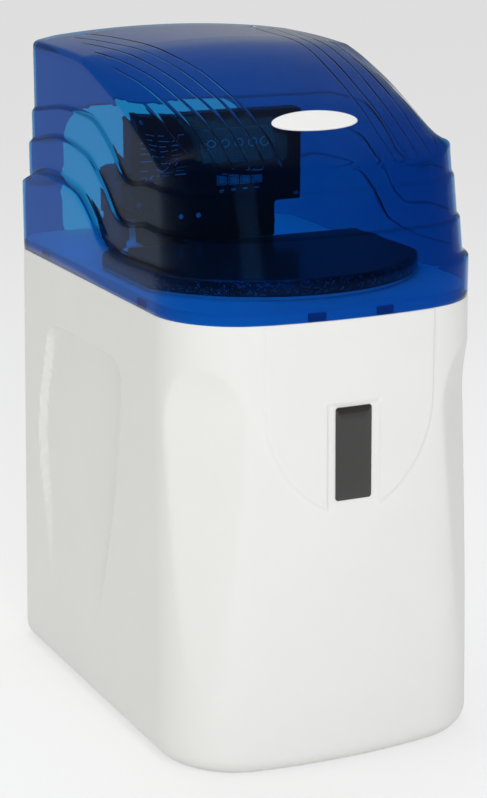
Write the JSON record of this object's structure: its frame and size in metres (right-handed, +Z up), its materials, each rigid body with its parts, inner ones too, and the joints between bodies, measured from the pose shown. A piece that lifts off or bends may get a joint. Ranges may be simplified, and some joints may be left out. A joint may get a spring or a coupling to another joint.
{
  "type": "water softener",
  "caption": "Cabinet water softener: white moulded salt tub with a resin tank and control valve inside, under a translucent blue domed hood that lifts off.",
  "frame": {"origin": "centre of the resting face under the tub, at the middle of the overall box", "axes": "+Z up, -Y towards the front with the black plate, +X to the right of someone who faces the front"},
  "size_m": [0.3436, 0.5005, 0.691],
  "materials": {
    "tub_white": "satin moulded polyethylene",
    "plate_black": "gloss",
    "hood_blue": "translucent gloss",
    "badge_white": "gloss",
    "pad_rubber": "matt",
    "lid_black": "grained",
    "deck_white": "satin",
    "tank_wound": "wound glass fibre",
    "boot_black": "matt",
    "pipe_white": "satin",
    "resin_amber": "beads",
    "seal_rubber": "matt",
    "valve_black": "glass-filled plastic",
    "head_black": "satin",
    "head_grey": "satin",
    "float_white": "foam",
    "rod_steel": "drawn",
    "gear_white": "acetal",
    "board_green": "solder mask",
    "pane_clear": "clear",
    "key_grey": "satin",
    "lamp_lens": "clear tinted",
    "tube_black": "satin tube",
    "bypass_black": "glass-filled plastic",
    "handle_red": "gloss",
    "clip_steel": "spring steel",
    "thread_grey": "satin"
  },
  "bodies": {
    "tub": {"cabinet_shell": "tub_white", "front_plate": "plate_black", "top_deck": "deck_white", "tank_shell": "tank_wound", "tank_foot": "boot_black", "riser_tube": "pipe_white", "bottom_basket": "pipe_white", "top_basket": "pipe_white", "resin_bed": "resin_amber", "tank_seal": "seal_rubber", "salt_grid": "pipe_white", "brine_well": "pipe_white", "safety_valve": "head_grey", "pickup_tube": "pipe_white", "air_check": "head_grey", "brine_line": "tube_black", "overflow_barb": "thread_grey", "overflow_nut": "thread_grey", "valve_body": "valve_black", "end_plug": "valve_black", "seal_rings": "seal_rubber", "spacer_cages": "pipe_white", "drive_motor": "clip_steel", "gear_axle": "rod_steel", "drive_bracket": "head_black", "control_cover": "head_black", "control_back": "head_black", "circuit_board": "board_green", "display_window": "pane_clear", "indicator_lamps": "lamp_lens", "power_socket": "thread_grey", "valve_screws": "rod_steel", "injector_housing": "head_grey", "injector_nozzle": "gear_white", "injector_cap": "head_grey", "line_nut": "head_grey", "drain_barb": "thread_grey", "bypass_block": "bypass_black", "pipe_ends": "thread_grey", "pipe_clips": "clip_steel"},
    "hood": {"hood_cover": "hood_blue", "hood_badge": "badge_white", "hood_pads": "pad_rubber"},
    "lid": {"salt_lid": "lid_black"},
    "well_cap": {"brine_well_cap": "deck_white"},
    "float": {"brine_float": "float_white", "float_rod": "rod_steel"},
    "piston": {"valve_piston": "gear_white", "piston_rod": "gear_white"},
    "main_gear": {"drive_gear": "gear_white"},
    "double_gear": {"reduction_gear": "gear_white"},
    "pinion": {"motor_pinion": "gear_white"},
    "key_one": {"key_1": "key_grey"},
    "key_two": {"key_2": "key_grey"},
    "key_three": {"key_3": "key_grey"},
    "key_four": {"key_4": "key_grey"},
    "turbine": {"meter_impeller": "gear_white"},
    "inlet_rotor": {"bypass_rotor_inlet": "handle_red"},
    "outlet_rotor": {"bypass_rotor_outlet": "handle_red"}
  },
  "joints": [
    {"name": "hood_lift", "type": "slide", "parent": "tub", "child": "hood", "axis": [0, 0, 1], "range_m": [0, 0.24]},
    {"name": "lid_lift", "type": "slide", "parent": "tub", "child": "lid", "axis": [0, 0, 1], "range_m": [0, 0.08]},
    {"name": "well_cap_lift", "type": "slide", "parent": "tub", "child": "well_cap", "axis": [0, 0, 1], "range_m": [0, 0.03]},
    {"name": "float_rise", "type": "slide", "parent": "tub", "child": "float", "axis": [0, 0, 1], "range_m": [0, 0.03]},
    {"name": "main_gear_turn", "type": "hinge", "parent": "tub", "child": "main_gear", "pos_m": [0, 0.101, 0.545], "axis": [0, 1, 0], "range_deg": [0, 720]},
    {"name": "double_gear_turn", "type": "hinge", "parent": "tub", "child": "double_gear", "pos_m": [0.01558, 0.097, 0.57198], "axis": [0, 1, 0], "range_deg": [-3000.5, 0]},
    {"name": "pinion_turn", "type": "hinge", "parent": "tub", "child": "pinion", "pos_m": [0.0304, 0.094, 0.58442], "axis": [0, 1, 0], "range_deg": [0, 9001]},
    {"name": "piston_slide", "type": "slide", "parent": "tub", "child": "piston", "axis": [0, -1, 0], "range_m": [0, 0.02]},
    {"name": "turbine_spin", "type": "hinge", "parent": "tub", "child": "turbine", "pos_m": [0.038, 0.188, 0.505], "axis": [0, 1, 0], "continuous": true},
    {"name": "inlet_rotor_turn", "type": "hinge", "parent": "tub", "child": "inlet_rotor", "pos_m": [-0.038, 0.2165, 0.505], "axis": [0, 0, 1], "range_deg": [0, 90]},
    {"name": "outlet_rotor_turn", "type": "hinge", "parent": "tub", "child": "outlet_rotor", "pos_m": [0.038, 0.2165, 0.505], "axis": [0, 0, 1], "range_deg": [-90, 0]},
    {"name": "key_one_press", "type": "slide", "parent": "tub", "child": "key_one", "axis": [0, 1, 0], "range_m": [0, 0.001], "stiffness_N_per_m": 300},
    {"name": "key_two_press", "type": "slide", "parent": "tub", "child": "key_two", "axis": [0, 1, 0], "range_m": [0, 0.001], "stiffness_N_per_m": 300},
    {"name": "key_three_press", "type": "slide", "parent": "tub", "child": "key_three", "axis": [0, 1, 0], "range_m": [0, 0.001], "stiffness_N_per_m": 300},
    {"name": "key_four_press", "type": "slide", "parent": "tub", "child": "key_four", "axis": [0, 1, 0], "range_m": [0, 0.001], "stiffness_N_per_m": 300}
  ],
  "couplings": [
    {"joint": "double_gear_turn", "follows": "main_gear_turn", "ratio": -4.1667},
    {"joint": "pinion_turn", "follows": "main_gear_turn", "ratio": 12.5},
    {"joint": "piston_slide", "follows": "main_gear_turn", "m_per_rad": 0.0015914}
  ]
}
